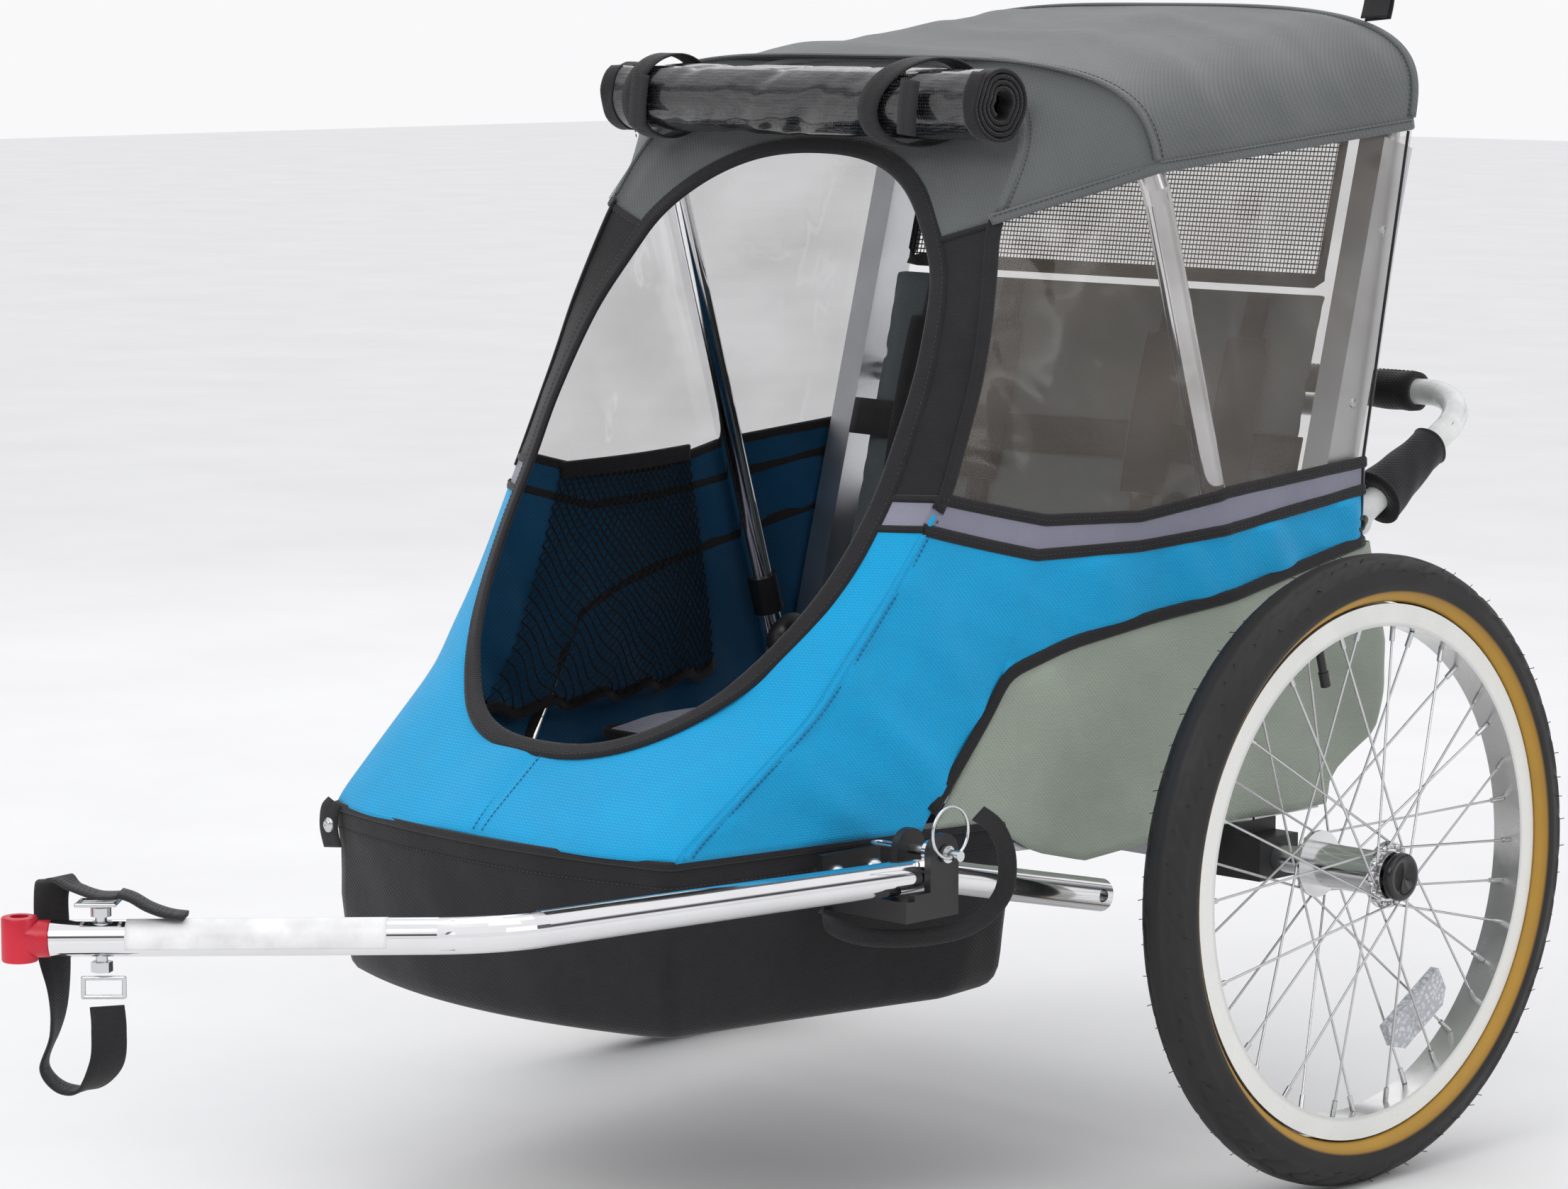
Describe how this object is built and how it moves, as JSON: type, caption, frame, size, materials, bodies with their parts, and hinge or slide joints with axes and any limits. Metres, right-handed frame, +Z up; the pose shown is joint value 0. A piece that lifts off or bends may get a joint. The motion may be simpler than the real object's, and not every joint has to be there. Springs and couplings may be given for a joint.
{
  "type": "child bicycle trailer",
  "caption": "Folding two-wheeled child bicycle trailer: aluminium frame, spoked wheels, side towing arm with flexible coupler, fabric cabin with windows, seat and foot tray.",
  "frame": {"origin": "centre of the whole object's plan outline, on the ground under the tyres", "axes": "+X to the trailer's left, -Y forward along the direction of travel, +Z up"},
  "size_m": [0.853, 1.3784, 0.9219],
  "materials": {
    "frame_aluminium": "brushed, clear anodised",
    "chrome_tube": "polished chrome plate",
    "black_steel": "black powder coat, satin",
    "zinc_hardware": "bright zinc plate",
    "black_plastic": "black moulded plastic, fine grain",
    "blue_fabric": "cyan blue coated polyester weave",
    "sage_fabric": "sage grey coated polyester weave",
    "grey_fabric": "mid grey twill",
    "black_fabric": "black coated polyester weave",
    "reflective_tape": "silver lavender reflective webbing",
    "clear_vinyl": "smoked clear vinyl, slightly wrinkled",
    "black_mesh": "black polyester mesh",
    "webbing": "black woven webbing",
    "red_polymer": "red moulded urethane",
    "tyre_rubber": "black rubber with a mustard sidewall",
    "rim_finish": "silver alloy",
    "spoke_steel": "bright stainless steel",
    "hub_alloy": "polished alloy",
    "bearing_steel": "ground steel",
    "white_tube": "white gloss paint",
    "foam_grip": "black padded fabric sleeve",
    "seat_fabric": "dark grey padded polyester",
    "clear_plastic": "clear prismatic plastic"
  },
  "bodies": {
    "root": {"side_rail_left": "frame_aluminium", "side_rail_right": "frame_aluminium", "base_crossbars": "frame_aluminium", "axle_tube": "frame_aluminium", "axle_blocks": "black_plastic", "stub_axles": "zinc_hardware", "fold_brackets": "zinc_hardware", "fold_pins": "zinc_hardware", "hitch_bracket": "black_steel", "frame_bolts": "zinc_hardware", "footwell": "black_fabric", "seat_bottom": "seat_fabric", "roof": "grey_fabric", "side_window_left": "clear_vinyl", "side_window_right": "clear_vinyl", "opening_frame": "black_fabric", "lower_body": "blue_fabric", "rear_body": "sage_fabric", "reflective_strips": "reflective_tape", "rain_cover_roll": "black_mesh", "mesh_pocket": "black_mesh", "pin_tether": "webbing"},
    "back": {"upright_left": "frame_aluminium", "upright_right": "frame_aluminium", "top_bow": "frame_aluminium", "back_crossbar": "frame_aluminium", "seat_back": "seat_fabric", "rear_mesh": "black_mesh", "harness": "webbing", "handle_brackets": "black_plastic"},
    "hoop": {"front_hoop": "chrome_tube", "hoop_sleeves": "black_plastic"},
    "handle": {"handle_bar": "white_tube", "handle_grip": "foam_grip"},
    "arm": {"hitch_arm": "chrome_tube", "strap_bolt": "zinc_hardware", "strap_rings": "zinc_hardware", "safety_strap": "webbing"},
    "coupler": {"hitch_coupler": "red_polymer"},
    "pin": {"lock_pin": "zinc_hardware", "pin_ring": "zinc_hardware"},
    "clip": {"wire_clip": "zinc_hardware"},
    "wheel_left": {"tyre_left": "tyre_rubber", "rim_left": "rim_finish", "spokes_left": "spoke_steel", "hub_left": "hub_alloy", "hub_bearings_left": "bearing_steel", "valve_left": "black_plastic", "reflector_left": "clear_plastic"},
    "button_left": {"push_button_left": "black_plastic"},
    "wheel_right": {"tyre_right": "tyre_rubber", "rim_right": "rim_finish", "spokes_right": "spoke_steel", "hub_right": "hub_alloy", "hub_bearings_right": "bearing_steel", "valve_right": "black_plastic", "reflector_right": "clear_plastic"},
    "button_right": {"push_button_right": "black_plastic"}
  },
  "joints": [
    {"name": "back_fold", "type": "hinge", "parent": "root", "child": "back", "pos_m": [0, 0.42524, 0.36], "axis": [1, 0, 0], "range_deg": [0, 104], "deforming": ["roof", "side_window_left", "side_window_right", "opening_frame", "lower_body", "rear_body", "reflective_strips", "rain_cover_roll", "mesh_pocket", "harness"]},
    {"name": "hoop_fold", "type": "hinge", "parent": "root", "child": "hoop", "pos_m": [0, 0.38924, 0.325], "axis": [1, 0, 0], "range_deg": [0, 73]},
    {"name": "handle_fold", "type": "hinge", "parent": "back", "child": "handle", "pos_m": [0, 0.50424, 0.507], "axis": [1, 0, 0], "range_deg": [0, 45]},
    {"name": "arm_lift", "type": "hinge", "parent": "root", "child": "arm", "pos_m": [0.3, -0.03976, 0.309], "axis": [-1, 0, 0], "range_deg": [0, 60]},
    {"name": "coupler_flex", "type": "hinge", "parent": "arm", "child": "coupler", "pos_m": [0.072, -0.66226, 0.3002], "axis": [0, 0, 1], "range_deg": [-30, 30], "stiffness_Nm_per_rad": 6},
    {"name": "lock_pin_slide", "type": "slide", "parent": "root", "child": "pin", "axis": [1, 0, 0], "range_m": [0, 0.04], "deforming": ["pin_tether"]},
    {"name": "clip_swing", "type": "hinge", "parent": "root", "child": "clip", "pos_m": [0.277, -0.03976, 0.309], "axis": [0, -1, 0], "range_deg": [0, 50]},
    {"name": "wheel_spin_left", "type": "hinge", "parent": "root", "child": "wheel_left", "pos_m": [0.383, 0.37224, 0.25], "axis": [1, 0, 0], "continuous": true},
    {"name": "axle_button_left", "type": "slide", "parent": "root", "child": "button_left", "axis": [-1, 0, 0], "range_m": [0, 0.003], "stiffness_N_per_m": 900},
    {"name": "wheel_spin_right", "type": "hinge", "parent": "root", "child": "wheel_right", "pos_m": [-0.383, 0.37224, 0.25], "axis": [1, 0, 0], "continuous": true},
    {"name": "axle_button_right", "type": "slide", "parent": "root", "child": "button_right", "axis": [1, 0, 0], "range_m": [0, 0.003], "stiffness_N_per_m": 900}
  ],
  "couplings": [
    {"joint": "hoop_fold", "follows": "back_fold", "ratio": 0.7}
  ]
}
